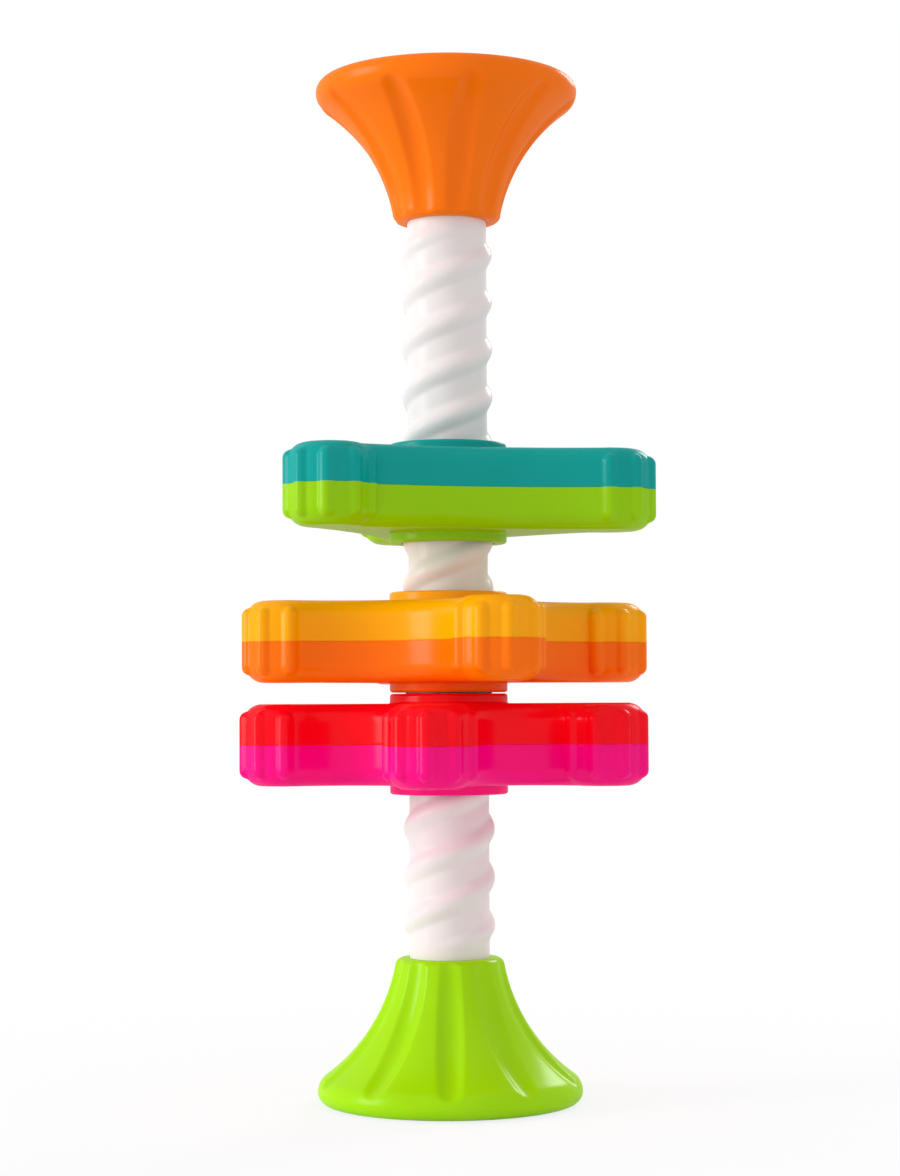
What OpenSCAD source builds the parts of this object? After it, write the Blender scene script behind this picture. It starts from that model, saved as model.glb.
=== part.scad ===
// Spinning stacking toy: three star-shaped spinners that whirl along a twisted post
// between a bell-shaped base and a matching cap. Millimetres, +Z up, origin at the
// centre of the face that the base stands on.

/* [Stand] */
// Height of the whole toy
toy_h = 220; // [215:1:230]
// Height of the base bell and of the cap bell
bell_h = 30.8; // [30:0.1:32]
// Widest radius of a bell, at its rim
bell_r = 28.3; // [27.8:0.1:29]
// Rounding of a bell's rim
rim_round = 4; // [3.6:0.1:4.2]
// Height of the rim's widest line over the face it stands on
rim_rise = 2.5; // [2.3:0.1:3]
// Radius of the hollow sweep from the rim to the neck
flare_r = 38; // [37:0.5:40]
// Radius of a bell's neck
neck_r = 11.75; // [11.6:0.05:12]
// Rounding of the neck's edge
neck_round = 1.8; // [1.4:0.1:2]
// Wall of a bell
bell_wall = 2.4; // [2:0.1:2.6]
// Flutes around each bell
flute_count = 10; // [8:1:10]
// Radius of the round bottom of a flute
flute_round = 4.5; // [4:0.1:5]
// Greatest depth of a flute
flute_depth = 1.1; // [1:0.05:1.2]
// Depth of a flute where it runs out over the neck's edge
flute_neck = 0.7; // [0.5:0.05:0.8]
// Turn of the cap's flutes against the base's
cap_turn = 11.5; // [0:0.5:36]

/* [Twisted post] */
// Radius of the post between its ribs
core_r = 8.55; // [8.4:0.05:8.6]
// Radius of the post over its ribs
crest_r = 9.75; // [9.4:0.05:9.75]
// Rise of a rib in one turn
lead = 20.65; // [20:0.05:22]
// Height of a rib measured up the post
rib_w = 5.6; // [5.2:0.1:6]
// Height of a rib's crest on the +X side
rib_phase = 37.6; // [32:0.05:43]
// Wall of the hollow post
post_wall = 2.2; // [2:0.1:2.5]

/* [Spinners] */
// Distance from the post's axis to the middle of an arm's tip
tip_reach = 35.4; // [34:0.2:36]
// Radius of an arm's round tip
tip_r = 8.9; // [8.6:0.1:9]
// Thickness of the arms
arm_t = 17.3; // [17:0.1:18]
// Rounding of the arms' edges
edge_round = 3.8; // [3.4:0.1:4]
// Distance from the post's axis to the hollow between two arms
hollow_reach = 20.5; // [20:0.1:21.5]
// Wall of a spinner shell
shell_wall = 2; // [1.8:0.1:2.2]
// Radius of the collar round the post
collar_r = 12.66; // [12.4:0.02:12.9]
// Height of a collar over the arms
collar_h = 2.1; // [1.8:0.1:2.2]
// Finger ridges on each tip
ridge_count = 6; // [4:1:6]
// Turn from one ridge to the next
ridge_step = 40; // [36:1:40]
// Half the width of a ridge
ridge_r = 1.7; // [1.5:0.1:1.8]
// Height of a ridge over the tip
ridge_proud = 1; // [0.6:0.1:1.1]
// Straight length of a ridge
ridge_len = 10.8; // [10:0.2:11.4]

/* [Where the spinners hang] */
// Height of the five-armed spinner's middle
red_z = 76.4; // [60:0.1:76.4]
// Height of the four-armed spinner's middle
yellow_z = 98.2; // [98.2:0.1:105]
// Height of the three-armed spinner's middle
teal_z = 130.2; // [127:0.1:150]
// Direction of one arm of the five-armed spinner
red_turn = -95.8; // [-180:0.1:180]
// Direction of one arm of the four-armed spinner
yellow_turn = -73.7; // [-180:0.1:180]
// Direction of one arm of the three-armed spinner
teal_turn = -133; // [-180:0.1:180]
// Lean of the five-armed spinner's hollows, which hooks its tips one way
red_hook = -0.5; // [-1:0.1:1]
// Lean of the four-armed spinner's hollows
yellow_hook = -1.5; // [-2:0.1:2]
// Lean of the three-armed spinner's hollows
teal_hook = 3; // [-4:0.1:4]

/* [Hidden] */
$fn = 64;
eps = 0.5;
fit_gap = 0.1;
// How far two round forms that meet smoothly run into each other, on a spinner and at a bell's rim
blend_lap = 0.05;
rim_lap = 0.03;

// Bell section: the rim's centre, and the flare's centre that touches both the rim and the neck
rim_c = [bell_r - rim_round, rim_rise];
neck_p = [neck_r, bell_h - neck_round];
touch_d = norm(neck_p - rim_c);
touch_a = flare_r + rim_round;
touch_x = (touch_a * touch_a - flare_r * flare_r + touch_d * touch_d) / (2 * touch_d);
touch_y = sqrt(touch_a * touch_a - touch_x * touch_x);
touch_u = (neck_p - rim_c) / touch_d;
flare_c = rim_c + touch_x * touch_u + touch_y * [touch_u[1], -touch_u[0]];
rim_end = atan2(flare_c[1] - rim_c[1], flare_c[0] - rim_c[0]);
touch_r = rim_c[0] + rim_round * cos(rim_end);
// The rim rolls in more tightly under its widest line, round this centre and from this angle
foot_c = [bell_r - rim_rise - rim_lap, rim_rise];
foot_end = 4;
// A flute is cut by a rod on a tighter arc, so it is deepest half way down, between the neck and the rim
flute_top = 360 + atan2(neck_p[1] - flare_c[1], neck_p[0] - flare_c[0]);
flute_deep = 214;
flute_shift = (flute_depth - flute_neck) / (1 - cos(flute_deep - flute_top));
flute_c = flare_c + flute_shift * turn_to(flute_deep);
flute_path_r = flare_r + flute_depth - flute_shift - flute_round;
flute_low = 252;
flute_high = 178;

// Inside a bell: the plate's seat, the socket for the post and its floor, and the screw
plate_r = 24.5;
plate_t = 2.5;
seat_r = plate_r - 1;
lip_t = 2;
lip_h = 2;
socket_wall = 2.35;
socket_r = core_r + fit_gap;
socket_tube_r = socket_r + socket_wall;
floor_z = 12;
floor_t = 2.5;
screw_r = 1.25;
screw_hole_r = 1.7;
screw_head_r = 2.9;
screw_head_h = 2.2;
screw_len = 12;
drive_r = 1.2;
drive_depth = 1.2;
inner_flare_r = flare_r + bell_wall;
inner_start = 180 + asin((flare_c[1] - inner_z(seat_r)) / inner_flare_r);
inner_end = 180 + asin((flare_c[1] - inner_z(socket_tube_r)) / inner_flare_r);
function inner_z(r) = flare_c[1] - sqrt(pow(inner_flare_r, 2) - pow(flare_c[0] - r, 2));

// Post: where it starts and ends, where its ribs start and end, and its mesh
post_low = floor_z + fit_gap;
post_high = toy_h - post_low;
rib_low = bell_h + 2;
rib_high = toy_h - rib_low;
rib_fade = 4;
fade_shrink = 0.15;
bore_r = core_r - post_wall;
plug_len = 14;
pilot_r = 1.3;
rib_starts = 2;
rib_gap = lead / rib_starts;
post_sides = 24;
post_rings = 122;

// Spinner: half thickness, hub, pocket for the nut and the ring, locating pegs
half_t = arm_t / 2;
hub_half = half_t + collar_h;
hub_bore_r = 10.1;
pocket_r = 13.1;
hub_tube_r = 15;
collar_round = 0.6;
nut_half = 5;
nut_r = pocket_r - fit_gap;
ring_low = 5.35;
ring_high = 7.65;
ring_bore_r = 10.05;
ring_r = 12.6;
ring_pocket = 8;
groove_peg_r = 1.5;
groove_peg_reach = 8.95;
groove_peg_drop = lead / 8;
locator_reach = 27;
locator_r = 3;
locator_pin_r = 1.5;
locator_pin_h = 4;
edge_steps = 4;
// How far the flat of an arm runs on past the middle of its tip
flat_lap = 1;
// How far the rough flat runs out past a tip, and the width of the ring that cuts a hollow into it
past_lap = 3;
hollow_ring = 40;

// Points of an arc from angle a to angle b, both ends included
function arc(c, r, a, b, steps) = [for (i = [0 : steps]) c + r * turn_to(a + (b - a) * i / steps)];
function turn_to(a) = [cos(a), sin(a)];

// Skin of stacked rings of points, closed at both ends, each ring counter-clockwise seen from above
module skin(rings) {
    count = len(rings[0]);
    last = (len(rings) - 1) * count;
    sides = [
        for (j = [0 : len(rings) - 2], i = [0 : count - 1])
            let (a = j * count + i, b = j * count + (i + 1) % count)
                each [[a, a + count, b], [a + count, b + count, b]]
    ];
    low_face = [for (i = [0 : count - 1]) i];
    high_face = [for (i = [count - 1 : -1 : 0]) last + i];
    polyhedron(points = [for (ring = rings) each ring], faces = concat(sides, [low_face, high_face]));
}

// Twisted post

// Height of a rib, from 0 in the groove to 1 on its crest, u up the post from the crest
function rib_shape(u) = abs(u) >= rib_w / 2 ? 0 : cos(180 * u / rib_w);
function rib_fade_at(z) = max(0, min(1, (z - rib_low) / rib_fade, (rib_high - z) / rib_fade));
function post_r(u, z) = core_r + (crest_r - core_r) * rib_shape(u) * rib_fade_at(z)
    - fade_shrink * (1 - rib_fade_at(z));
function post_ring(z) = [
    for (i = [0 : post_sides - 1])
        let (step = 360 * i / post_sides, u = rib_gap * ((i * rib_starts / post_sides + 0.5) % 1 - 0.5))
            concat(post_r(u, z) * turn_to(360 * (z - rib_phase) / lead - step), z)
];
function reversed(list) = [for (i = [len(list) - 1 : -1 : 0]) list[i]];

module twist_post() color("white") difference() {
    union() {
        skin([
            for (j = [0 : post_rings])
                reversed(post_ring(rib_low + (rib_high - rib_low) * j / post_rings))
        ]);
        translate([0, 0, post_low]) cylinder(h = rib_low - post_low, r = core_r);
        translate([0, 0, rib_high]) cylinder(h = post_high - rib_high, r = core_r);
    }
    translate([0, 0, post_low - eps]) cylinder(h = post_high - post_low + 2 * eps, r = bore_r);
}

module post_plug() difference() {
    translate([0, 0, post_low]) cylinder(h = plug_len, r = bore_r - fit_gap);
    translate([0, 0, post_low - eps]) cylinder(h = screw_len + eps, r = pilot_r);
}

// Bells

// Right half of a bell's section: the flare, the round rim, and what is hollow inside them
function bell_inside() = concat(
    [[0, bell_h + eps], [socket_r, bell_h + eps], [socket_r, floor_z], [screw_hole_r, floor_z]],
    [[screw_hole_r, floor_z - floor_t], [socket_tube_r, floor_z - floor_t]],
    arc(flare_c, inner_flare_r, inner_end, inner_start, 8),
    [[seat_r, plate_t], [plate_r, plate_t], [plate_r, -eps], [0, -eps]]
);
module bell_section() difference() {
    union() {
        difference() {
            translate([0, rim_c[1]]) square([touch_r, bell_h - rim_c[1]]);
            translate(flare_c) circle(r = flare_r - rim_lap);
        }
        translate(rim_c) circle(r = rim_round);
    }
    polygon(bell_inside());
    polygon(concat(
        arc([neck_r - neck_round, bell_h - neck_round], neck_round, -15, 90, 5),
        [[neck_r - neck_round, bell_h + eps], [neck_r + neck_round, bell_h + eps]],
        [[neck_r + neck_round, bell_h - neck_round]]
    ));
    polygon(concat(
        arc(foot_c, rim_rise, -90, foot_end, 6),
        [[bell_r + eps, foot_c[1] + rim_rise * sin(foot_end)], [bell_r + eps, -eps], [foot_c[0], -eps]]
    ));
    translate([0, -rim_round]) square([bell_r + eps, rim_round]);
}

// One flute: a round rod bent a little tighter than the flare
module flute() translate([flute_c[0], 0, flute_c[1]]) rotate([90, 0, 0]) rotate(flute_high)
    rotate_extrude(angle = flute_low - flute_high) translate([flute_path_r, 0]) circle(r = flute_round);

module bell_shell() difference() {
    rotate_extrude($fn = 128) bell_section();
    for (k = [0 : flute_count - 1]) rotate(k * 360 / flute_count - 90) flute();
}

module bell_plate() {
    cylinder(h = plate_t - fit_gap, r = plate_r - fit_gap);
    translate([0, 0, plate_t - fit_gap]) difference() {
        cylinder(h = lip_h, r = seat_r - fit_gap);
        translate([0, 0, -eps]) cylinder(h = lip_h + 2 * eps, r = seat_r - fit_gap - lip_t);
    }
}

module bell_screw() translate([0, 0, floor_z - floor_t]) difference() {
    union() {
        translate([0, 0, -screw_head_h]) cylinder(h = screw_head_h, r = screw_head_r);
        cylinder(h = screw_len, r = screw_r);
    }
    translate([0, 0, -screw_head_h - eps]) cylinder(h = drive_depth + eps, r = drive_r, $fn = 6);
}

module at_cap() translate([0, 0, toy_h]) rotate(cap_turn) mirror([0, 0, 1]) children();

module lower_post_plug() color("gainsboro") post_plug();
module upper_post_plug() color("gainsboro") at_cap() post_plug();
module base_shell() color("yellowgreen") bell_shell();
module base_plate() color("yellowgreen") bell_plate();
module base_screw() color("silver") bell_screw();
module cap_shell() color("darkorange") at_cap() bell_shell();
module cap_plate() color("darkorange") at_cap() bell_plate();
module cap_screw() color("silver") at_cap() bell_screw();

// Spinners

// Centre distance of the arc between two arms, which touches one round tip and, leaning by the hook, cuts
// into the foot of the other
function hollow_d(arms, hook) = (pow(tip_reach, 2) - pow(hollow_reach - tip_r, 2))
    / (2 * (tip_reach * cos(180 / arms + abs(hook)) - (hollow_reach - tip_r)));
function hollow_c(arms, hook, k) = hollow_d(arms, hook) * turn_to((k + 0.5) * 360 / arms - hook);
function tip_c(arms, k) = tip_reach * turn_to(k * 360 / arms);
// Point a little outside the tip at a, on the line to b
function past_tip(a, b) = a + (tip_r + past_lap) * (b - a) / norm(b - a);

// Section of an edge rounded over at the top: side is 1 for a round tip, -1 for the hollow between two
function rounded_edge(r, side, inset) = [
    for (i = [0 : edge_steps])
        let (a = 90 * i / edge_steps, round = edge_round - inset)
            [r - side * round * (1 - cos(a)), half_t - inset - round * (1 - sin(a))]
];

// Half a spinner's form from the height low up to its top face, drawn in all round by inset
module star(arms, hook, inset, low) {
    top = half_t - inset;
    hollow_r = hollow_d(arms, hook) - hollow_reach + inset - blend_lap;
    bore = max(0, hollow_r - hollow_ring);
    difference() {
        translate([0, 0, low]) linear_extrude(top - low) polygon([
            for (k = [0 : arms - 1]) each [
                (tip_reach + flat_lap) * turn_to(k * 360 / arms),
                past_tip(tip_c(arms, k), hollow_c(arms, hook, k)),
                past_tip(tip_c(arms, k + 1), hollow_c(arms, hook, k))
            ]
        ]);
        for (k = [0 : arms - 1]) translate(hollow_c(arms, hook, k)) rotate_extrude()
            polygon(concat(
                [[bore, low - eps], [hollow_r, low - eps]],
                rounded_edge(hollow_r, -1, inset),
                [[hollow_r + edge_round - inset, top + eps], [bore, top + eps]]
            ));
    }
    for (k = [0 : arms - 1]) translate(tip_c(arms, k)) rotate_extrude()
        polygon(concat(
            [[0, low], [tip_r - inset, low]],
            rounded_edge(tip_r - inset, 1, inset),
            [[0, top]]
        ));
}

module ridge() rotate_extrude($fn = 32) intersection() {
    square([ridge_r, ridge_len / 2 + ridge_r]);
    union() {
        square([ridge_r, ridge_len / 2]);
        translate([0, ridge_len / 2]) circle(r = ridge_r);
    }
}

// Ridges one step apart, with one ridge more on the hooked side of a tip
module ridges(arms, hook) for (k = [0 : arms - 1], i = [0 : ridge_count - 1])
    rotate(k * 360 / arms) translate([tip_reach, 0, 0])
        rotate((i - (ridge_count - 1 - sign(hook)) / 2) * ridge_step)
            translate([tip_r + ridge_proud - ridge_r, 0, 0]) ridge();

module collar() rotate_extrude($fn = 96) polygon(concat(
    [[hub_bore_r, 0], [collar_r, 0]],
    arc([collar_r - collar_round, hub_half - collar_round], collar_round, 0, 90, 4),
    [[hub_bore_r, hub_half]]
));

module at_locators(arms) for (k = [0 : arms - 1])
    rotate(k * 360 / arms) translate([locator_reach, 0, 0]) children();

// Half a spinner as a hollow moulding, seam at z = 0, with a pocket of the given depth round the post
module half_shell(arms, hook, pocket_depth) difference() {
    union() {
        star(arms, hook, 0, 0);
        collar();
        ridges(arms, hook);
    }
    difference() {
        star(arms, hook, shell_wall, -eps);
        cylinder(h = half_t, r = hub_tube_r);
        at_locators(arms) cylinder(h = half_t, r = locator_r);
    }
    translate([0, 0, -eps]) cylinder(h = pocket_depth + eps, r = pocket_r);
    translate([0, 0, -eps]) cylinder(h = hub_half + 2 * eps, r = hub_bore_r);
}

module upper_half(arms, hook) difference() {
    half_shell(arms, hook, ring_pocket);
    translate([0, 0, -eps]) at_locators(arms)
        cylinder(h = locator_pin_h + 2 * eps, r = locator_pin_r + fit_gap);
}

module lower_half(arms, hook) {
    mirror([0, 0, 1]) half_shell(arms, hook, nut_half);
    translate([0, 0, -eps]) at_locators(arms) cylinder(h = locator_pin_h + eps, r = locator_pin_r);
}

// Turn that sets a nut's pegs into the grooves when the nut's middle is at height z
function groove_turn(z) = 360 * (z - groove_peg_drop - rib_phase - rib_gap / 2) / lead;

module drive_nut(z) rotate(groove_turn(z)) {
    difference() {
        translate([0, 0, -nut_half]) cylinder(h = 2 * nut_half, r = nut_r);
        translate([0, 0, -nut_half - eps]) cylinder(h = 2 * (nut_half + eps), r = hub_bore_r);
    }
    for (k = [0 : 3]) rotate(90 * k) translate([groove_peg_reach, 0, groove_peg_drop * (2 * (k % 2) - 1)])
        rotate([0, 90, 0]) cylinder(h = hub_bore_r + eps - groove_peg_reach, r = groove_peg_r);
}

module guide_ring() difference() {
    translate([0, 0, ring_low]) cylinder(h = ring_high - ring_low, r = ring_r);
    translate([0, 0, ring_low - eps]) cylinder(h = ring_high - ring_low + 2 * eps, r = ring_bore_r);
}

module at_red() translate([0, 0, red_z]) rotate(red_turn) children();
module at_yellow() translate([0, 0, yellow_z]) rotate(yellow_turn) children();
module at_teal() translate([0, 0, teal_z]) rotate(teal_turn) children();

module red_upper_shell() color("red") at_red() upper_half(5, red_hook);
module red_lower_shell() color("deeppink") at_red() lower_half(5, red_hook);
module red_drive_nut() color("ivory") translate([0, 0, red_z]) drive_nut(red_z);
module red_guide_ring() color("ivory") translate([0, 0, red_z]) guide_ring();
module yellow_upper_shell() color("gold") at_yellow() upper_half(4, yellow_hook);
module yellow_lower_shell() color("orange") at_yellow() lower_half(4, yellow_hook);
module yellow_drive_nut() color("ivory") translate([0, 0, yellow_z]) drive_nut(yellow_z);
module yellow_guide_ring() color("ivory") translate([0, 0, yellow_z]) guide_ring();
module teal_upper_shell() color("mediumturquoise") at_teal() upper_half(3, teal_hook);
module teal_lower_shell() color("yellowgreen") at_teal() lower_half(3, teal_hook);
module teal_drive_nut() color("ivory") translate([0, 0, teal_z]) drive_nut(teal_z);
module teal_guide_ring() color("ivory") translate([0, 0, teal_z]) guide_ring();

twist_post();
lower_post_plug();
upper_post_plug();
base_shell();
base_plate();
base_screw();
cap_shell();
cap_plate();
cap_screw();
red_upper_shell();
red_lower_shell();
red_drive_nut();
red_guide_ring();
yellow_upper_shell();
yellow_lower_shell();
yellow_drive_nut();
yellow_guide_ring();
teal_upper_shell();
teal_lower_shell();
teal_drive_nut();
teal_guide_ring();
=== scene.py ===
"""Spinning stacking toy: fine mouldings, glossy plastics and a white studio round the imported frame."""

import math

import bmesh
import bpy
import numpy as np
from bpy.props import FloatProperty, FloatVectorProperty, IntProperty, PointerProperty
from bpy.types import Operator, Panel, PropertyGroup
from mathutils import Matrix, Vector


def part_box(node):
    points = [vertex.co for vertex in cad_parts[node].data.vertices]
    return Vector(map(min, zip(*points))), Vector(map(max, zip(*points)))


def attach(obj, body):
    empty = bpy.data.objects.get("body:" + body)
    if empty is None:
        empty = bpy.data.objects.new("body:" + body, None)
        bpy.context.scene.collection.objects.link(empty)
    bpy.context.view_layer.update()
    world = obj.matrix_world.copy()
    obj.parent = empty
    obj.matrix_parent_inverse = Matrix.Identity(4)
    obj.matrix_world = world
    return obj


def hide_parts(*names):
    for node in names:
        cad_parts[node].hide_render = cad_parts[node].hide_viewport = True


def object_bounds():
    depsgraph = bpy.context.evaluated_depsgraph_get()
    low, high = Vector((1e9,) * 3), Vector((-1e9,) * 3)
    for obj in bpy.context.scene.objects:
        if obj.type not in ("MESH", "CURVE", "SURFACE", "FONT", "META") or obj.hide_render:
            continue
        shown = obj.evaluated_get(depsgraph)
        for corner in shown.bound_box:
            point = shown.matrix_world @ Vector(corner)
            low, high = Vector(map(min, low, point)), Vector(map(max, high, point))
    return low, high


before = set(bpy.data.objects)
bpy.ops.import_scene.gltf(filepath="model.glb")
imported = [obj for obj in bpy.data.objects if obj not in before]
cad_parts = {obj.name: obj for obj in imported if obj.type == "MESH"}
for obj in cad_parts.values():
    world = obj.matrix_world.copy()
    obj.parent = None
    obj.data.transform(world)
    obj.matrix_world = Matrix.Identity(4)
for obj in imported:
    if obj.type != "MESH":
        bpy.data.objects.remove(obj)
CAD_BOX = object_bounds()

bl_info = {
    "name": "Spinning Stacking Toy",
    "version": (1, 0, 0),
    "blender": (4, 5, 0),
    "location": "3D View > Sidebar > Stacking Toy",
    "description": "Moulds the toy's bells, post and spinners and lights them in a white studio",
    "category": "Add Mesh",
}

MM = 0.001
PHOTO_WIDTH = 900
SENSOR_WIDTH = 36.0

# How finely the bells and the post are drawn
BELL_SIDES = 480
FOOT_STEPS = 14
RIM_STEPS = 16
FLARE_STEPS = 60
NECK_STEPS = 8
UNDERSIDE_STEPS = 24
POST_SIDES = 120
POST_RINGS = 460

# How finely the spinners are drawn
TIP_STEP = math.radians(2.0)
HOLLOW_POINTS = 48
FILLET_POINTS = 7
FILLET_LEAST = math.radians(3.0)
EDGE_STEPS = 14
WALL_STEPS = 8
SEAM_STEPS = 3
HUB_POINTS = 120
COLLAR_FOOT_STEPS = 5
COLLAR_EDGE_STEPS = 8

# Edges steeper than this stay sharp
SHARP_ANGLE = math.radians(38.0)

# How many layers of ever finer noise the cloudy drift and the grain have
FLOW_DETAIL = 2.0
GRAIN_DETAIL = 3.0

# Lights, floor and room, in metres
KEY_PLACE = (-1.1, -0.28, 0.35)
KEY_WIDTH, KEY_HEIGHT = 0.5, 0.7
RIM_PLACE = (0.5, 0.8, 0.6)
RIM_WIDTH, RIM_HEIGHT = 0.3, 0.3
FLOOR_REACH = 0.5
FLOOR_DROP = 0.2 * MM
FLOOR_TONE = 0.9
FLOOR_ROUGHNESS = 0.9
FLOOR_WHITE = 0.8
FLOOR_FADE_START, FLOOR_FADE_END = 0.05, 0.30
WHITE = (1.0, 1.0, 1.0, 1.0)

# Sizes that the frame gives
TOY_HEIGHT = CAD_BOX[1][2]
BELL_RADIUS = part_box("base_shell")[1][0]
BELL_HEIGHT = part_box("base_shell")[1][2]
POST_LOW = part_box("twist_post")[0][2]
POST_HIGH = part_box("twist_post")[1][2]
HUB_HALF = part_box("red_upper_shell")[1][2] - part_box("red_upper_shell")[0][2]

# Arms of each spinner, the direction of one of them and the lean of the hollows between them, in degrees,
# and the colours of its upper and lower half
SPINNERS = {
    "red": (5, -95.8, -0.5, "red", "magenta"),
    "yellow": (4, -73.7, -1.5, "yellow", "orange"),
    "teal": (3, -133.0, 3.0, "teal", "lime"),
}
# CAD nodes that keep their own shape, with the plastic or metal that each takes
FITTINGS = {
    "base_plate": "base_green",
    "cap_plate": "cap_orange",
    "lower_post_plug": "inner",
    "upper_post_plug": "inner",
    "base_screw": "screw",
    "cap_screw": "screw",
    **{f"{spinner}_drive_nut": "inner" for spinner in SPINNERS},
    **{f"{spinner}_guide_ring": "inner" for spinner in SPINNERS},
}


def srgb(red, green, blue):
    """Linear colour of an 8-bit display colour."""
    def linear(value):
        value /= 255
        return value / 12.92 if value <= 0.04045 else ((value + 0.055) / 1.055) ** 2.4
    return linear(red), linear(green), linear(blue)


def length(name, description, millimetres):
    """A length property, given in millimetres and kept in metres."""
    return FloatProperty(
        name=name, description=description, default=millimetres * MM, min=0.0, precision=5, unit="LENGTH"
    )


def angle(name, description, degrees):
    """An angle property, given in degrees and kept in radians."""
    return FloatProperty(name=name, description=description, default=math.radians(degrees), subtype="ANGLE")


def factor(name, description, value):
    """A plain number from 0 to 1."""
    return FloatProperty(
        name=name, description=description, default=value, min=0.0, max=1.0, subtype="FACTOR"
    )


def colour(name, description, *display):
    """A colour property, given as 8-bit display values."""
    return FloatVectorProperty(
        name=name, description=description, default=srgb(*display), size=3, min=0.0, max=1.0, subtype="COLOR"
    )


class BellSizes(PropertyGroup):
    """Shape of the base bell and of the cap bell."""

    rim_round: length("Rim rounding", "Radius of the rolled rim", 4.0)
    rim_rise: length("Rim rise", "Height of the rim's widest line over the bell's face", 2.5)
    flare_radius: length("Flare radius", "Radius of the hollow sweep from rim to neck", 38.0)
    neck_radius: length("Neck radius", "Radius where the sweep meets the neck's edge", 11.75)
    neck_round: length("Neck rounding", "Radius of the neck's edge", 1.8)
    wall: length("Wall", "Thickness of the moulding", 2.4)
    flute_round: length("Flute radius", "Radius of a flute's round bottom", 4.5)
    flute_depth: length("Flute depth", "Greatest depth of a flute below the sweep", 1.1)
    flute_neck: length("Flute at neck", "Depth of a flute where it runs out over the neck's edge", 0.7)
    flute_deep: angle("Flute deepest", "Direction from the sweep's centre in which a flute is deepest", 214.0)
    flute_lip: length("Flute lip", "How far a flute's lip is softened", 0.5)
    flute_count: IntProperty(name="Flutes", description="Flutes round a bell", default=10, min=3, max=24)
    cap_turn: angle("Cap turn", "Turn of the cap's flutes against the base's", 11.5)
    seat_radius: length("Seat radius", "Inner radius of the step that the plate rests on", 23.5)
    plate_recess_radius: length("Recess radius", "Radius of the recess for the plate", 24.5)
    plate_recess_depth: length("Recess depth", "Depth of the recess for the plate", 2.5)
    socket_radius: length("Socket radius", "Radius of the socket for the post", 8.65)
    socket_tube_radius: length("Socket tube radius", "Outer radius of the socket inside the bell", 11.0)
    floor_height: length("Socket floor", "Height of the socket's floor over the bell's face", 12.0)
    floor_thickness: length("Floor thickness", "Thickness of the socket's floor", 2.5)
    screw_hole_radius: length("Screw hole", "Radius of the hole for the screw", 1.7)


class PostSizes(PropertyGroup):
    """Shape of the twisted post."""

    core_radius: length("Core radius", "Radius between the ribs", 8.55)
    crest_radius: length("Crest radius", "Radius over the ribs", 9.75)
    bore_radius: length("Bore radius", "Radius of the hollow inside", 6.35)
    lead: length("Lead", "Rise of a rib in one turn", 20.65)
    rib_height: length("Rib height", "Height of a rib measured up the post", 5.6)
    rib_phase: length("Rib phase", "Height of a rib's crest on the +X side", 37.6)
    rib_foot: factor("Rib foot", "Softness of a rib's foot, as a share of how proud it stands", 0.3)
    rib_margin: length("Rib margin", "Plain length between a bell's neck and the ribs", 2.0)
    rib_fade: length("Rib fade", "Length over which a rib rises to its full height", 4.0)
    rib_starts: IntProperty(name="Ribs", description="Ribs that wind round the post", default=2, min=1, max=4)


class SpinnerSizes(PropertyGroup):
    """Shape that the three spinners share."""

    tip_reach: length("Tip reach", "Distance from the axis to the middle of a tip", 35.4)
    tip_radius: length("Tip radius", "Radius of a round tip", 8.9)
    arm_thickness: length("Arm thickness", "Thickness of both halves together", 17.3)
    edge_round: length("Edge rounding", "Radius of the arms' edges", 3.8)
    hollow_reach: length("Hollow reach", "Distance from the axis to the hollow between two arms", 20.5)
    hook_fillet: length("Hook fillet", "Radius where a hollow runs into the hooked side of a tip", 1.2)
    wall: length("Wall", "Thickness of a half's wall", 2.0)
    seam_round: length("Seam rounding", "Radius of the edge where the halves meet", 0.12)
    collar_radius: length("Collar radius", "Radius of the collar round the post", 12.66)
    collar_round: length("Collar rounding", "Radius of the collar's edge", 0.6)
    collar_foot: length("Collar foot", "Radius of the hollow where the collar rises from the arms", 0.4)
    bore_radius: length("Bore radius", "Radius of the hole for the post", 10.1)
    bore_edge: length("Bore edge", "Bevel of the bore's edge", 0.25)
    pocket_radius: length("Pocket radius", "Radius of the pocket for the nut and the ring", 13.1)
    hub_tube_radius: length("Hub tube radius", "Outer radius of the hub inside the arms", 15.0)
    upper_pocket: length("Upper pocket", "Depth of the pocket in the upper half", 8.0)
    lower_pocket: length("Lower pocket", "Depth of the pocket in the lower half", 5.0)
    ridge_radius: length("Ridge radius", "Half the width of a finger ridge", 1.7)
    ridge_proud: length("Ridge height", "Height of a ridge over the tip", 1.0)
    ridge_length: length("Ridge length", "Straight length of a ridge, over both halves", 10.8)
    ridge_blend: length("Ridge blend", "How far a ridge runs softly into the tip", 0.7)
    ridge_step: angle("Ridge step", "Turn from one ridge to the next", 40.0)
    ridge_count: IntProperty(name="Ridges", description="Ridges on each tip", default=6, min=1, max=9)


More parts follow.
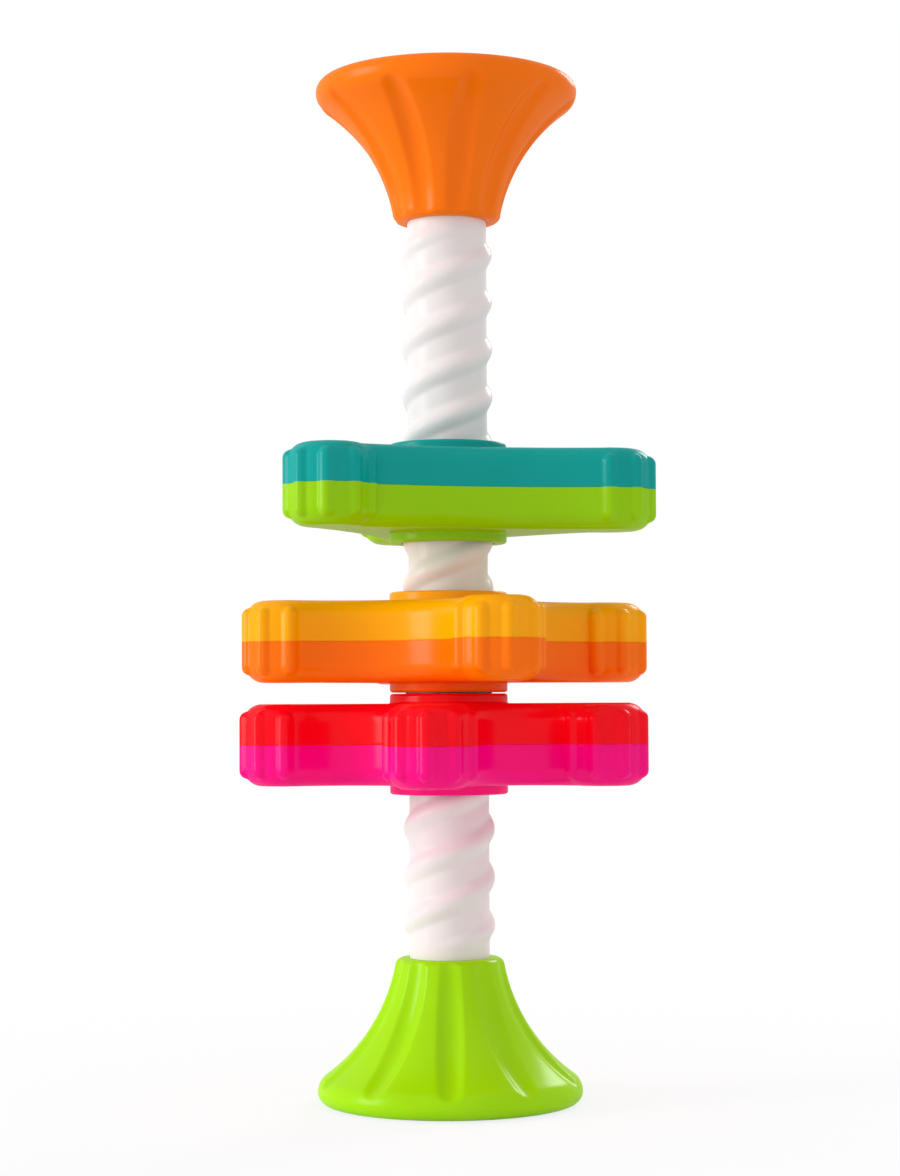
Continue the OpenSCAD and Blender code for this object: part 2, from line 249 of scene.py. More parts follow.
class ToyColours(PropertyGroup):
    """Colours of the plastics and of the screws."""

    base_green: colour("Base", "Lime green of the base bell", 160, 222, 0)
    cap_orange: colour("Cap", "Orange of the cap bell", 255, 118, 0)
    post: colour("Post", "White of the twisted post", 236, 229, 228)
    teal: colour("Teal", "Upper half of the three-armed spinner", 0, 158, 151)
    lime: colour("Lime", "Lower half of the three-armed spinner", 150, 206, 0)
    yellow: colour("Yellow", "Upper half of the four-armed spinner", 255, 168, 0)
    orange: colour("Orange", "Lower half of the four-armed spinner", 255, 114, 0)
    red: colour("Red", "Upper half of the five-armed spinner", 255, 0, 24)
    magenta: colour("Magenta", "Lower half of the five-armed spinner", 255, 0, 130)
    inner: colour("Inner parts", "Ivory of the nuts, rings and plugs", 232, 228, 216)
    screw: colour("Screws", "Steel of the screws", 168, 170, 174)


class PlasticFinish(PropertyGroup):
    """How the moulded plastic takes the light."""

    gloss: factor("Gloss", "Weight of the clear skin over the plastic", 0.27)
    gloss_drift: factor("Gloss drift", "How far the gloss wanders over a moulding", 0.05)
    gloss_roughness: factor("Gloss roughness", "Roughness of the clear skin", 0.22)
    steel_roughness: factor("Steel roughness", "Roughness of the screws", 0.35)
    tint_drift: factor("Tint drift", "How far the colour wanders over a moulding", 0.05)
    flow_size: length("Flow size", "Size of the cloudy drift of colour and gloss", 14.0)
    grain_size: length("Grain size", "Size of the fine grain of the mould", 0.35)
    grain_height: length("Grain height", "Height of the fine grain of the mould", 0.004)
    glow_depth: length("Glow depth", "How far light wanders inside the plastic", 1.2)
    glow: factor("Glow", "Share of the light that wanders inside the plastic", 0.12)


class StudioSettings(PropertyGroup):
    """Camera and lights."""

    camera_distance: length("Camera distance", "Distance from the post's axis to the camera", 560.0)
    camera_height: length("Camera height", "Height of the camera over the floor", 84.1)
    camera_side: FloatProperty(
        name="Camera side",
        description="How far the camera stands to the right",
        default=0.38 * MM,
        precision=5,
        unit="LENGTH",
    )
    camera_tilt: angle("Camera tilt", "How far the camera looks up", 2.64)
    camera_roll: angle("Camera roll", "Turn of the camera about its own axis", -0.263)
    focal_pixels: FloatProperty(
        name="Focal length", description="Focal length in pixels of the 900 pixel wide image", default=2600.0
    )
    key_power: FloatProperty(
        name="Key light", description="Power of the large light on the left", default=7.5, unit="POWER"
    )
    rim_power: FloatProperty(
        name="Rim light", description="Power of the small light behind right", default=3.0, unit="POWER"
    )
    fill: factor("Fill", "Brightness of the white room round the toy", 0.78)


def turn_to(angles):
    """Unit vectors in a plane at the given angles, one row each."""
    return np.stack([np.cos(angles), np.sin(angles)], axis=-1)


def direction(vector):
    """Angle of a vector in a plane, up to half a turn either way."""
    return math.atan2(vector[1], vector[0])


def spun(angle_about_z):
    """Matrix that turns rows of plane points by an angle."""
    return np.array([turn_to(angle_about_z), turn_to(angle_about_z + math.pi / 2)])


def arc(centre, radius, start, end, steps):
    """Points of an arc in a plane, both ends included."""
    return np.asarray(centre) + radius * turn_to(np.linspace(start, end, steps + 1))


def soft_rise(value, softness):
    """The value where it is positive and 0 where it isn't, with a bend as wide as softness on either side."""
    return np.maximum(value, 0.0) + np.maximum(softness - np.abs(value), 0.0) ** 2 / (4 * softness)


def grid_faces(rings, count, start, closed):
    """Quads of stacked rings of points, each ring a closed loop."""
    row = np.arange(rings if closed else rings - 1)[:, None]
    column = np.arange(count)[None, :]
    following = (column + 1) % count
    above = (row + 1) % rings
    corners = [
        row * count + column,
        row * count + following,
        above * count + following,
        above * count + column,
    ]
    return (np.stack(np.broadcast_arrays(*corners), axis=-1) + start).reshape(-1, 4)


def revolve(section, angles):
    """Rings of points of a section of (radius, height) points, turned to each angle."""
    around = turn_to(angles)
    flat = section[:, None, :1] * around[None]
    height = np.broadcast_to(section[:, None, 1:], flat.shape[:2] + (1,))
    return np.concatenate([flat, height], axis=-1)


def mesh_of(name, points, faces):
    """A finished mesh of the points and faces."""
    mesh = bpy.data.meshes.new(name)
    mesh.from_pydata(points.reshape(-1, 3).tolist(), [], faces.tolist())
    return finish_mesh(mesh)


def finish_mesh(mesh):
    """Faces looking outwards, shaded smooth, with steep edges kept sharp."""
    work = bmesh.new()
    work.from_mesh(mesh)
    bmesh.ops.recalc_face_normals(work, faces=work.faces)
    if work.calc_volume(signed=True) < 0:
        bmesh.ops.reverse_faces(work, faces=work.faces)
    work.to_mesh(mesh)
    work.free()
    mesh.shade_smooth()
    mesh.set_sharp_from_angle(angle=SHARP_ANGLE)
    return mesh


def place(name, mesh, material, body, node):
    """A piece that stands for a CAD node, rides on its body and wears the material."""
    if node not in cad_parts:
        raise RuntimeError(f"The frame has no node {node}")
    piece = bpy.data.objects.new(name, mesh)
    bpy.context.scene.collection.objects.link(piece)
    mesh.materials.append(material)
    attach(piece, body)
    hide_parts(node)


# Plastics

def skin_group():
    """Shader group of a moulded skin: cloudy drift of colour and gloss, and the fine grain of the mould."""
    name = "Moulded Skin"
    if name in bpy.data.node_groups:
        return bpy.data.node_groups[name]
    group = bpy.data.node_groups.new(name, "ShaderNodeTree")
    sockets = [
        ("Color", "INPUT", "NodeSocketColor"),
        ("Tint Drift", "INPUT", "NodeSocketFloat"),
        ("Gloss", "INPUT", "NodeSocketFloat"),
        ("Gloss Drift", "INPUT", "NodeSocketFloat"),
        ("Flow Scale", "INPUT", "NodeSocketFloat"),
        ("Grain Scale", "INPUT", "NodeSocketFloat"),
        ("Color", "OUTPUT", "NodeSocketColor"),
        ("Gloss", "OUTPUT", "NodeSocketFloat"),
        ("Grain", "OUTPUT", "NodeSocketFloat"),
    ]
    for socket, direction, kind in sockets:
        group.interface.new_socket(socket, in_out=direction, socket_type=kind)
    nodes, links = group.nodes, group.links
    entry = nodes.new("NodeGroupInput")
    result = nodes.new("NodeGroupOutput")
    place_in_object = nodes.new("ShaderNodeTexCoord")

    def noise(scale_socket, detail):
        texture = nodes.new("ShaderNodeTexNoise")
        texture.inputs["Detail"].default_value = detail
        links.new(place_in_object.outputs["Object"], texture.inputs["Vector"])
        links.new(entry.outputs[scale_socket], texture.inputs["Scale"])
        return texture.outputs["Fac"]

    def swing(source, centre, amount):
        """centre + (source - 0.5) * 2 * amount"""
        centred = nodes.new("ShaderNodeMath")
        centred.operation = "MULTIPLY_ADD"
        centred.inputs[1].default_value = 2.0
        centred.inputs[2].default_value = -1.0
        links.new(source, centred.inputs[0])
        scaled = nodes.new("ShaderNodeMath")
        scaled.operation = "MULTIPLY_ADD"
        links.new(centred.outputs[0], scaled.inputs[0])
        links.new(amount, scaled.inputs[1])
        if isinstance(centre, float):
            scaled.inputs[2].default_value = centre
        else:
            links.new(centre, scaled.inputs[2])
        return scaled.outputs[0]

    flow = noise("Flow Scale", FLOW_DETAIL)
    tint = nodes.new("ShaderNodeHueSaturation")
    links.new(entry.outputs["Color"], tint.inputs["Color"])
    links.new(swing(flow, 1.0, entry.outputs["Tint Drift"]), tint.inputs["Value"])
    links.new(tint.outputs["Color"], result.inputs["Color"])
    gloss = swing(flow, entry.outputs["Gloss"], entry.outputs["Gloss Drift"])
    links.new(gloss, result.inputs["Gloss"])
    links.new(noise("Grain Scale", GRAIN_DETAIL), result.inputs["Grain"])
    return group


def moulded(slot, metal=False):
    """Material of one slot: gloss plastic, or turned steel for the screws."""
    name = f"Toy {slot}"
    if name in bpy.data.materials:
        return bpy.data.materials[name]
    finish = bpy.context.scene.toy_finish
    material = bpy.data.materials.new(name)
    material.use_nodes = True
    nodes, links = material.node_tree.nodes, material.node_tree.links
    shader = nodes["Principled BSDF"]
    skin = nodes.new("ShaderNodeGroup")
    skin.node_tree = skin_group()
    skin.inputs["Color"].default_value = (*getattr(bpy.context.scene.toy_colours, slot), 1.0)
    skin.inputs["Tint Drift"].default_value = finish.tint_drift
    skin.inputs["Gloss"].default_value = finish.gloss
    skin.inputs["Gloss Drift"].default_value = finish.gloss_drift
    skin.inputs["Flow Scale"].default_value = 1 / finish.flow_size
    skin.inputs["Grain Scale"].default_value = 1 / finish.grain_size
    bump = nodes.new("ShaderNodeBump")
    bump.inputs["Distance"].default_value = finish.grain_height
    links.new(skin.outputs["Grain"], bump.inputs["Height"])
    links.new(skin.outputs["Color"], shader.inputs["Base Color"])
    links.new(bump.outputs["Normal"], shader.inputs["Normal"])
    if metal:
        shader.inputs["Metallic"].default_value = 1.0
        shader.inputs["Roughness"].default_value = finish.steel_roughness
    else:
        links.new(skin.outputs["Gloss"], shader.inputs["Coat Weight"])
        shader.inputs["Coat Roughness"].default_value = finish.gloss_roughness
        shader.inputs["Specular IOR Level"].default_value = 0.0
        shader.inputs["Subsurface Weight"].default_value = finish.glow
        shader.inputs["Subsurface Scale"].default_value = finish.glow_depth
    return material


# Bells

def bell_marks(sizes):
    """Middle of the rim's rounding, and the point where the sweep meets the neck's edge."""
    rim_centre = np.array([BELL_RADIUS - sizes.rim_round, sizes.rim_rise])
    neck = np.array([sizes.neck_radius, BELL_HEIGHT - sizes.neck_round])
    return rim_centre, neck


def bell_section(sizes):
    """Closed section of a bell as (radius, height) points, and how many of them lie on its outside."""
    rim_centre, neck = bell_marks(sizes)
    flare = flare_centre(sizes)
    rim_end = direction(flare - rim_centre)
    flare_end = direction(neck - flare) % math.tau
    recess = sizes.plate_recess_radius
    foot_centre = [BELL_RADIUS - sizes.rim_rise, sizes.rim_rise]
    neck_centre = [sizes.neck_radius - sizes.neck_round, BELL_HEIGHT - sizes.neck_round]
    outside = np.concatenate([
        [[recess, 0.0]],
        arc(foot_centre, sizes.rim_rise, -math.pi / 2, 0.0, FOOT_STEPS),
        arc(rim_centre, sizes.rim_round, 0.0, rim_end, RIM_STEPS)[1:],
        arc(flare, sizes.flare_radius, math.pi + rim_end, flare_end, FLARE_STEPS)[1:],
        arc(neck_centre, sizes.neck_round, flare_end - math.pi, math.pi / 2, NECK_STEPS),
    ])
    inner_radius = sizes.flare_radius + sizes.wall

    def inner_angle(radius):
        return math.pi + math.acos((flare[0] - radius) / inner_radius)

    underside = arc(
        flare,
        inner_radius,
        inner_angle(sizes.socket_tube_radius),
        inner_angle(sizes.seat_radius),
        UNDERSIDE_STEPS,
    )
    floor_low = sizes.floor_height - sizes.floor_thickness
    inside = np.concatenate([
        [
            [sizes.socket_radius, BELL_HEIGHT],
            [sizes.socket_radius, sizes.floor_height],
            [sizes.screw_hole_radius, sizes.floor_height],
            [sizes.screw_hole_radius, floor_low],
            [sizes.socket_tube_radius, floor_low],
        ],
        underside,
        [[sizes.seat_radius, sizes.plate_recess_depth], [recess, sizes.plate_recess_depth]],
    ])
    return np.concatenate([outside, inside]), len(outside)


def flare_centre(sizes):
    """Centre of the hollow sweep, which touches the rim from outside and passes through the neck."""
    rim_centre, neck = bell_marks(sizes)
    gap = np.linalg.norm(neck - rim_centre)
    along = (neck - rim_centre) / gap
    reach = sizes.flare_radius + sizes.rim_round
    forward = (reach ** 2 - sizes.flare_radius ** 2 + gap ** 2) / (2 * gap)
    aside = math.sqrt(reach ** 2 - forward ** 2)
    return rim_centre + forward * along + aside * np.array([along[1], -along[0]])


def flute_centre(sizes):
    """Centre of the tighter arc along which a flute is cut, and the distance to the flute's bottom."""
    flare = flare_centre(sizes)
    top = direction(bell_marks(sizes)[1] - flare) % math.tau
    shift = (sizes.flute_depth - sizes.flute_neck) / (1 - math.cos(sizes.flute_deep - top))
    return flare + shift * turn_to(sizes.flute_deep), sizes.flare_radius + sizes.flute_depth - shift


def flute_rings(sizes, section, angles):
    """Rings of the outside with the flutes pressed in, each flute deepest between the neck and the rim."""
    centre, bottom = flute_centre(sizes)
    step = math.tau / sizes.flute_count
    aside = (angles + math.pi / 2 + step / 2) % step - step / 2
    across = section[:, :1] * np.sin(aside)
    along = section[:, :1] * np.cos(aside)
    away = np.stack(np.broadcast_arrays(along, section[:, 1:]), axis=-1) - centre
    distance = np.linalg.norm(away, axis=-1)
    room = np.sqrt(np.maximum(sizes.flute_round ** 2 - across ** 2, 0.0))
    cut = soft_rise(bottom - sizes.flute_round + room - distance, sizes.flute_lip)
    push = cut[..., None] * away / distance[..., None]
    rings = revolve(section, angles)
    rings[..., :2] += push[..., :1] * turn_to(angles - aside)
    rings[..., 2] += push[..., 1]
    return rings


def bell_mesh(name, sizes, turn, capped):
    """A fluted bell, standing on the floor or, as the cap, upside down on top."""
    section, outside = bell_section(sizes)
    angles = np.linspace(0.0, math.tau, BELL_SIDES, endpoint=False)
    rings = np.concatenate([
        flute_rings(sizes, section[:outside], angles),
        revolve(section[outside:], angles),
    ])
    rings[..., :2] = rings[..., :2] @ spun(turn)
    if capped:
        rings[..., 2] = TOY_HEIGHT - rings[..., 2]
    return mesh_of(name, rings, grid_faces(len(section), len(angles), 0, True))


class TOY_OT_mould_bells(Operator):
    """Mould the fluted base bell and the matching cap bell"""

    bl_idname = "toy.mould_bells"
    bl_label = "Mould Bells"

    def execute(self, context):
        sizes = context.scene.toy_bells
        place("Base_Bell", bell_mesh("Base_Bell", sizes, 0.0, False), moulded("base_green"),
              "stand", "base_shell")
        place("Cap_Bell", bell_mesh("Cap_Bell", sizes, sizes.cap_turn, True), moulded("cap_orange"),
              "stand", "cap_shell")
        return {"FINISHED"}


# Twisted post

def post_mesh(name, sizes):
    """A hollow post with round ribs that wind up it."""
    angles = np.linspace(0.0, math.tau, POST_SIDES, endpoint=False)
    heights = np.linspace(POST_LOW, POST_HIGH, POST_RINGS)
    gap = sizes.lead / sizes.rib_starts
    crest = sizes.rib_phase + sizes.lead * angles[None] / math.tau
    off_crest = (heights[:, None] - crest + gap / 2) % gap - gap / 2
    over_crest = np.clip(math.pi * off_crest / sizes.rib_height, -math.pi, math.pi)
    rib = soft_rise(np.cos(over_crest), sizes.rib_foot)
    low = BELL_HEIGHT + sizes.rib_margin
    high = TOY_HEIGHT - low
    fade = np.clip(np.minimum(heights - low, high - heights) / sizes.rib_fade, 0.0, 1.0)[:, None]
    radius = sizes.core_radius + (sizes.crest_radius - sizes.core_radius) * rib * fade
    outside = np.concatenate([
        radius[..., None] * turn_to(angles)[None],
        np.broadcast_to(heights[:, None, None], radius.shape + (1,)),
    ], axis=-1)
    bore = revolve(np.array([[sizes.bore_radius, POST_HIGH], [sizes.bore_radius, POST_LOW]]), angles)
    rings = np.concatenate([outside, bore])
    return mesh_of(name, rings, grid_faces(len(rings), len(angles), 0, True))


class TOY_OT_mould_post(Operator):
    """Mould the white post with its two winding ribs"""

    bl_idname = "toy.mould_post"
    bl_label = "Mould Post"

    def execute(self, context):
        mesh = post_mesh("Twisted_Post", context.scene.toy_post)
        place("Twisted_Post", mesh, moulded("post"), "stand", "twist_post")
        return {"FINISHED"}


# Spinners

def tip_side(sizes, tip, hollow, radius, side):
    """Direction in which the tip's arc ends beside a hollow, and the fillet from there into the hollow: its
    middle, the directions of its points and how far it sweeps."""
    reach = np.linalg.norm(hollow - tip)
    towards = direction(hollow - tip)
    out, into = sizes.tip_radius + sizes.hook_fillet, radius - sizes.hook_fillet
    spread = math.acos(min(1.0, (reach ** 2 + out ** 2 - into ** 2) / (2 * reach * out)))
    end = towards + side * spread
    fillet = tip + out * turn_to(end)
    sweep = (direction(fillet - hollow) - end) % math.tau - math.pi
    turns = end + math.pi + sweep * np.linspace(0.0, 1.0, FILLET_POINTS + 1)[1:]
    return end, fillet, turns, abs(sweep)


def star_outline(sizes, arms, hook):
    """Outline of a spinner, point by point: place, outward direction, and the direction of its own tip."""
    half_step = math.pi / arms
    tip_gap = sizes.hollow_reach - sizes.tip_radius
    spread = sizes.tip_reach * math.cos(half_step + abs(hook)) - tip_gap
    middle = (sizes.tip_reach ** 2 - tip_gap ** 2) / (2 * spread)
    radius = middle - sizes.hollow_reach
    tip = np.array([sizes.tip_reach, 0.0])
    before = middle * turn_to(-half_step - hook)
    after = middle * turn_to(half_step - hook)
    next_tip = sizes.tip_reach * turn_to(2 * half_step)
    start, *_ = tip_side(sizes, tip, before, radius, -1)
    end, fillet, fillet_turns, sweep = tip_side(sizes, tip, after, radius, 1)
    _, far_fillet, far_turns, far_sweep = tip_side(sizes, next_tip, after, radius, -1)
    tip_turns = np.linspace(start, end, round((end - start) / TIP_STEP) + 1)
    pieces = [(tip + sizes.tip_radius * turn_to(tip_turns), turn_to(tip_turns), 0)]
    if sweep > FILLET_LEAST:
        inward = turn_to(fillet_turns)
        pieces.append((fillet + sizes.hook_fillet * inward, -inward, 0))
    hollow_start = direction(fillet - after) % math.tau
    hollow_end = direction(far_fillet - after) % math.tau
    share = (1 - np.cos(np.linspace(0.0, math.pi, HOLLOW_POINTS + 2)[1:-1])) / 2
    inward = turn_to(hollow_start + (hollow_end - hollow_start) * share)
    hollow = after + radius * inward
    half = HOLLOW_POINTS // 2
    pieces += [(hollow[:half], -inward[:half], 0), (hollow[half:], -inward[half:], 1)]
    if far_sweep > FILLET_LEAST:
        inward = turn_to(far_turns[::-1])
        pieces.append((far_fillet + sizes.hook_fillet * inward, -inward, 1))
    places, outwards, tips = [], [], []
    for arm in range(arms):
        spin = spun(2 * half_step * arm)
        for place_of, outward_of, ahead in pieces:
            places.append(place_of @ spin)
            outwards.append(outward_of @ spin)
            tips.append(np.full(len(place_of), 2 * half_step * (arm + ahead)))
    return np.concatenate(places), np.concatenate(outwards), np.concatenate(tips)


def ridge_reach(sizes, hook, turns, height):
    """Distance from a tip's middle to the skin of the nearest ridge, well inside the tip if none is near."""
    first = -(sizes.ridge_count - 1 - np.sign(hook)) / 2
    nearest = np.clip(np.round(turns / sizes.ridge_step), first, first + sizes.ridge_count - 1)
    aside = turns - nearest * sizes.ridge_step
    centre = sizes.tip_radius + sizes.ridge_proud - sizes.ridge_radius
    past_end = max(height - sizes.ridge_length / 2, 0.0)
    room = sizes.ridge_radius ** 2 - past_end ** 2 - (centre * np.sin(aside)) ** 2
    return centre * np.cos(aside) + np.sign(room) * np.sqrt(np.abs(room))


def star_ring(sizes, outline, hook, inset, height, ridged):
    """The outline drawn in by inset at a height, with its finger ridges if it is on the outside."""
    places, outwards, tips = outline
    flat = places - inset * outwards
    if ridged:
        away = flat - sizes.tip_reach * turn_to(tips)
        distance = np.linalg.norm(away, axis=1)
        turns = (np.arctan2(away[:, 1], away[:, 0]) - tips + math.pi) % math.tau - math.pi
        rise = soft_rise(ridge_reach(sizes, hook, turns, height) - distance, sizes.ridge_blend)
        flat = flat + (rise / distance)[:, None] * away
    return np.column_stack([flat, np.full(len(flat), height)])


def half_rings(sizes, outline, hook):
    """Rings from the roof of the hollow inside, down to the seam, and up the outside to the flat top."""
    half = sizes.arm_thickness / 2
    edge_low = half - sizes.edge_round
    inner_round = sizes.edge_round - sizes.wall
    quarter = np.linspace(0.0, math.pi / 2, EDGE_STEPS + 1)
    inside = [
        (sizes.wall + inner_round * (1 - math.cos(a)), edge_low + inner_round * math.sin(a))
        for a in quarter[::-1]
    ]
    seam = [
        (sizes.seam_round * (1 - math.sin(a)), sizes.seam_round * (1 - math.cos(a)))
        for a in np.linspace(0.0, math.pi / 2, SEAM_STEPS + 1)
    ]
    wall = [(0.0, z) for z in np.linspace(sizes.seam_round, edge_low, WALL_STEPS + 1)[1:-1]]
    edge = [
        (sizes.edge_round * (1 - math.cos(a)), edge_low + sizes.edge_round * math.sin(a))
        for a in quarter
    ]
    hidden = inside + [(sizes.wall, 0.0)]
    shown = seam + wall + edge
    return np.array(
        [star_ring(sizes, outline, hook, inset, z, False) for inset, z in hidden]
        + [star_ring(sizes, outline, hook, inset, z, True) for inset, z in shown]
    )


def hub_rings(sizes, pocket_depth):
    """Rings from the collar's foot over its edge, down the bore and the pocket, and up the hub's tube."""
    top = sizes.arm_thickness / 2
    foot, edge, bevel = sizes.collar_foot, sizes.collar_round, sizes.bore_edge
    section = np.concatenate([
        arc([sizes.collar_radius + foot, top + foot], foot, -math.pi / 2, -math.pi, COLLAR_FOOT_STEPS),
        arc([sizes.collar_radius - edge, HUB_HALF - edge], edge, 0.0, math.pi / 2, COLLAR_EDGE_STEPS),
        [
            [sizes.bore_radius + bevel, HUB_HALF],
            [sizes.bore_radius, HUB_HALF - bevel],
            [sizes.bore_radius, pocket_depth],
            [sizes.pocket_radius, pocket_depth],
            [sizes.pocket_radius, 0.0],
            [sizes.hub_tube_radius, 0.0],
            [sizes.hub_tube_radius, top - sizes.wall],
        ],
    ])
    return revolve(section, np.linspace(0.0, math.tau, HUB_POINTS, endpoint=False))


def fill_between(work, loops):
    """Fills the flat face between closed loops of vertices, each a range of vertex numbers."""
    edges = [
        edge
        for edge in work.edges
        if edge.is_boundary and any(all(corner.index in loop for corner in edge.verts) for loop in loops)
    ]
    bmesh.ops.triangle_fill(work, use_beauty=True, edges=edges)


def half_mesh(name, sizes, arms, hook, pocket_depth, turn, seam_height, upper):
    """One hollow half of a spinner, moulded round its own axis and then set in its place."""
    star = half_rings(sizes, star_outline(sizes, arms, hook), hook)
    hub = hub_rings(sizes, pocket_depth)
    points = np.concatenate([star.reshape(-1, 3), hub.reshape(-1, 3)])
    if not upper:
        points[:, 2] *= -1
    count, start = star.shape[1], star.shape[0] * star.shape[1]
    faces = np.concatenate([
        grid_faces(star.shape[0], count, 0, False),
        grid_faces(hub.shape[0], HUB_POINTS, start, False),
    ])
    mesh = bpy.data.meshes.new(name)
    mesh.from_pydata(points.tolist(), [], faces.tolist())
    work = bmesh.new()
    work.from_mesh(mesh)
    work.verts.index_update()
    roof = range(count)
    top = range(start - count, start)
    collar_foot = range(start, start + HUB_POINTS)
    tube_top = range(len(points) - HUB_POINTS, len(points))
    fill_between(work, [top, collar_foot])
    fill_between(work, [roof, tube_top])
    work.transform(Matrix.Translation((0.0, 0.0, seam_height)) @ Matrix.Rotation(turn, 4, "Z"))
    work.to_mesh(mesh)
    work.free()
    return finish_mesh(mesh)


class TOY_OT_mould_spinners(Operator):
    """Mould the upper and lower half of each spinner"""

    bl_idname = "toy.mould_spinners"
    bl_label = "Mould Spinners"

    def execute(self, context):
        sizes = context.scene.toy_spinners
        for spinner, (arms, turn, lean, upper_slot, lower_slot) in SPINNERS.items():
            hook = math.radians(lean)
            seam_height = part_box(f"{spinner}_upper_shell")[0][2]
            halves = [("upper", upper_slot, sizes.upper_pocket), ("lower", lower_slot, sizes.lower_pocket)]
            for half, slot, pocket_depth in halves:
                name = f"{spinner}_{half}_half".title()
                mesh = half_mesh(
                    name, sizes, arms, hook, pocket_depth, math.radians(turn), seam_height, half == "upper"
                )
                place(name, mesh, moulded(slot), f"{spinner}_spinner", f"{spinner}_{half}_shell")
        return {"FINISHED"}


class TOY_OT_finish_fittings(Operator):
    """Give the plates, plugs, screws, nuts and rings of the frame their plastic or steel"""

    bl_idname = "toy.finish_fittings"
    bl_label = "Finish Fittings"

    def execute(self, context):
        for node, slot in FITTINGS.items():
            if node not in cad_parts:
                raise RuntimeError(f"The frame has no node {node}")
            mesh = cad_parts[node].data
            mesh.materials.clear()
            mesh.materials.append(moulded(slot, metal=slot == "screw"))
        return {"FINISHED"}


# Studio

def soft_light(name, location, target, width, height, power):
    """A rectangular soft light that looks at the target."""
    data = bpy.data.lights.new(name, "AREA")
    data.shape = "RECTANGLE"
    data.size, data.size_y = width, height
    data.energy = power
    light = bpy.data.objects.new(name, data)
    bpy.context.scene.collection.objects.link(light)
    light.location = location
    light.rotation_euler = (Vector(target) - Vector(location)).to_track_quat("-Z", "Y").to_euler()


def seen_share(tree, unseen, seen):
    """Socket that is seen for camera, glossy and transmission rays, and unseen for all others."""
    nodes, links = tree.nodes, tree.links
    path = nodes.new("ShaderNodeLightPath")
    ray = path.outputs["Is Camera Ray"]
    for kind in ("Is Glossy Ray", "Is Transmission Ray"):
        either = nodes.new("ShaderNodeMath")
        either.operation = "MAXIMUM"
        links.new(ray, either.inputs[0])
        links.new(path.outputs[kind], either.inputs[1])
        ray = either.outputs[0]
    share = nodes.new("ShaderNodeMapRange")
    share.inputs["To Min"].default_value = unseen
    share.inputs["To Max"].default_value = seen
    links.new(ray, share.inputs["Value"])
    return share.outputs["Result"]


def white_room(world, fill):
    """A white world for the camera and for reflections, and a plain fill for everything else."""
    world.use_nodes = True
    background = world.node_tree.nodes["Background"]
    background.inputs["Color"].default_value = WHITE
    world.node_tree.links.new(seen_share(world.node_tree, fill, 1.0), background.inputs["Strength"])


def floor_material():
    """Pale floor, nearly white to the camera, that takes the toy's shadow and fades out round it."""
    material = bpy.data.materials.new("Studio floor")
    material.use_nodes = True
    nodes, links = material.node_tree.nodes, material.node_tree.links
    matt = nodes["Principled BSDF"]
    matt.inputs["Base Color"].default_value = (FLOOR_TONE, FLOOR_TONE, FLOOR_TONE, 1.0)
    matt.inputs["Roughness"].default_value = FLOOR_ROUGHNESS
    matt.inputs["Specular IOR Level"].default_value = 0.0
    white = nodes.new("ShaderNodeEmission")
    lit = nodes.new("ShaderNodeMixShader")
    links.new(seen_share(material.node_tree, 0.0, FLOOR_WHITE), lit.inputs["Fac"])
    links.new(matt.outputs["BSDF"], lit.inputs[1])
    links.new(white.outputs["Emission"], lit.inputs[2])
    where = nodes.new("ShaderNodeTexCoord")
    distance = nodes.new("ShaderNodeVectorMath")
    distance.operation = "LENGTH"
    fade = nodes.new("ShaderNodeMapRange")
    fade.interpolation_type = "SMOOTHSTEP"
    fade.inputs["From Min"].default_value = FLOOR_FADE_START
    fade.inputs["From Max"].default_value = FLOOR_FADE_END
    clear = nodes.new("ShaderNodeBsdfTransparent")
    edge = nodes.new("ShaderNodeMixShader")
    links.new(where.outputs["Object"], distance.inputs[0])
    links.new(distance.outputs["Value"], fade.inputs["Value"])
    links.new(fade.outputs["Result"], edge.inputs["Fac"])
    links.new(lit.outputs["Shader"], edge.inputs[1])
    links.new(clear.outputs["BSDF"], edge.inputs[2])
    links.new(edge.outputs["Shader"], nodes["Material Output"].inputs["Surface"])
    return material


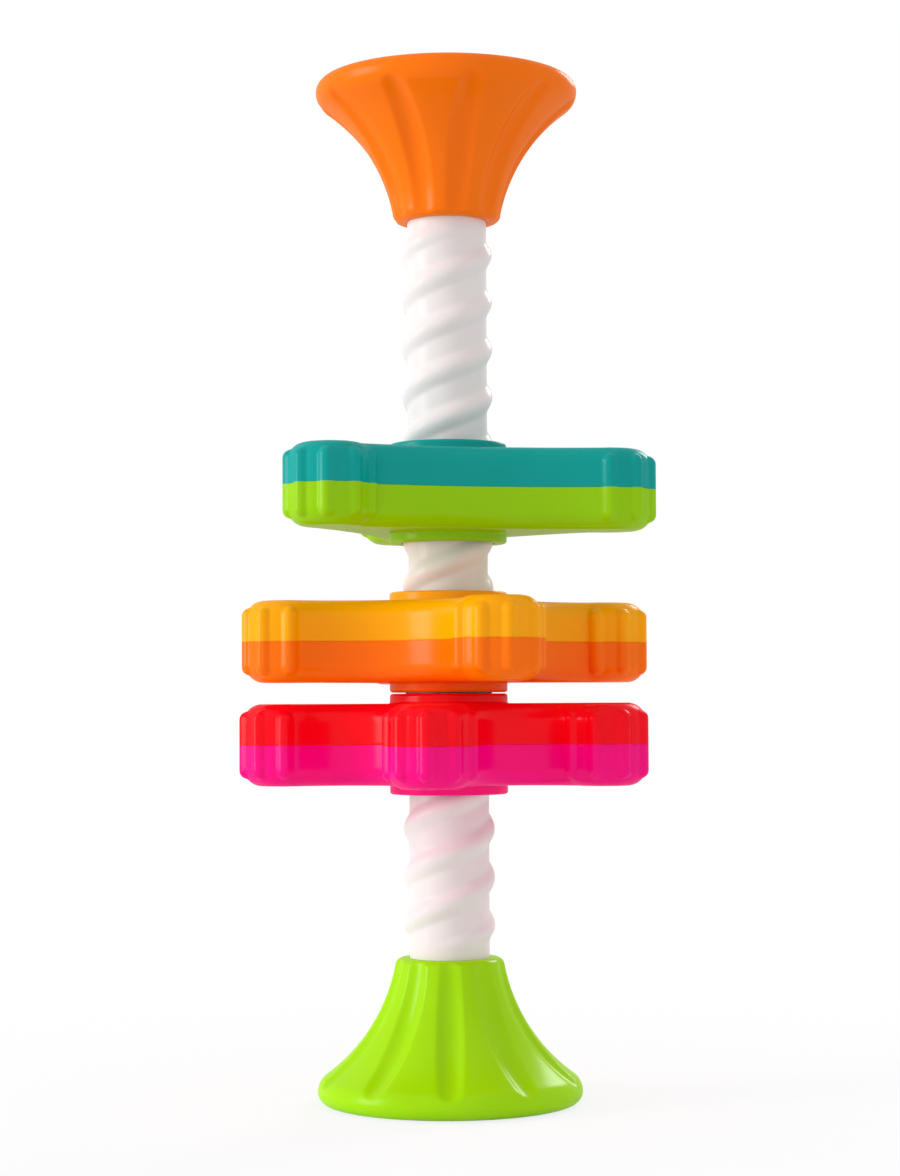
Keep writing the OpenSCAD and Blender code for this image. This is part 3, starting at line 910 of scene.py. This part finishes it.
class TOY_OT_set_studio(Operator):
    """Set up the floor, the soft lights, the white room and the camera"""

    bl_idname = "toy.set_studio"
    bl_label = "Set Studio"

    def execute(self, context):
        scene, studio = context.scene, context.scene.toy_studio
        scene.view_settings.view_transform = "Standard"
        middle = (0.0, 0.0, TOY_HEIGHT / 2)
        soft_light("Key_Light", KEY_PLACE, middle, KEY_WIDTH, KEY_HEIGHT, studio.key_power)
        soft_light("Rim_Light", RIM_PLACE, middle, RIM_WIDTH, RIM_HEIGHT, studio.rim_power)
        world = scene.world or bpy.data.worlds.new("White Room")
        scene.world = world
        white_room(world, studio.fill)

        mesh = bpy.data.meshes.new("Studio_Floor")
        signs = [(-1, -1), (1, -1), (1, 1), (-1, 1)]
        corners = [(FLOOR_REACH * x, FLOOR_REACH * y, 0.0) for x, y in signs]
        mesh.from_pydata(corners, [], [(0, 1, 2, 3)])
        mesh.materials.append(floor_material())
        floor = bpy.data.objects.new("Studio_Floor", mesh)
        floor.location.z = -FLOOR_DROP
        scene.collection.objects.link(floor)

        data = bpy.data.cameras.new("Camera")
        data.sensor_fit = "HORIZONTAL"
        data.sensor_width = SENSOR_WIDTH
        data.lens = studio.focal_pixels / PHOTO_WIDTH * SENSOR_WIDTH
        camera = bpy.data.objects.new("Camera", data)
        scene.collection.objects.link(camera)
        stand = Matrix.Translation((studio.camera_side, -studio.camera_distance, studio.camera_height))
        look = Matrix.Rotation(math.pi / 2 + studio.camera_tilt, 4, "X")
        camera.matrix_world = stand @ look @ Matrix.Rotation(studio.camera_roll, 4, "Z")
        scene.camera = camera
        return {"FINISHED"}


class TOY_PT_sidebar(Panel):
    """Lists the toy's sizes, colours and steps in the 3D view's sidebar"""

    bl_idname = "TOY_PT_sidebar"
    bl_label = "Stacking Toy"
    bl_space_type = "VIEW_3D"
    bl_region_type = "UI"
    bl_category = "Stacking Toy"

    def draw(self, context):
        layout = self.layout
        for settings in GROUPS:
            box = layout.box()
            box.label(text=settings.replace("toy_", "").title())
            group = getattr(context.scene, settings)
            for prop in group.bl_rna.properties:
                if not prop.is_readonly and prop.identifier != "name":
                    box.prop(group, prop.identifier)
        for step in STEPS:
            layout.operator(step.bl_idname)


GROUPS = {
    "toy_bells": BellSizes,
    "toy_post": PostSizes,
    "toy_spinners": SpinnerSizes,
    "toy_colours": ToyColours,
    "toy_finish": PlasticFinish,
    "toy_studio": StudioSettings,
}
STEPS = (
    TOY_OT_mould_bells,
    TOY_OT_mould_post,
    TOY_OT_mould_spinners,
    TOY_OT_finish_fittings,
    TOY_OT_set_studio,
)


def register():
    """Register the settings, the steps and the panel."""
    for settings, group in GROUPS.items():
        bpy.utils.register_class(group)
        setattr(bpy.types.Scene, settings, PointerProperty(type=group))
    for step in (*STEPS, TOY_PT_sidebar):
        bpy.utils.register_class(step)


def unregister():
    """Take out the panel, the steps and the settings again."""
    for step in (TOY_PT_sidebar, *reversed(STEPS)):
        bpy.utils.unregister_class(step)
    for settings, group in reversed(GROUPS.items()):
        delattr(bpy.types.Scene, settings)
        bpy.utils.unregister_class(group)


def main():
    """Build the toy step by step."""
    register()
    bpy.ops.toy.mould_bells()
    bpy.ops.toy.mould_post()
    bpy.ops.toy.mould_spinners()
    bpy.ops.toy.finish_fittings()
    bpy.ops.toy.set_studio()


if __name__ == "__main__":
    main()
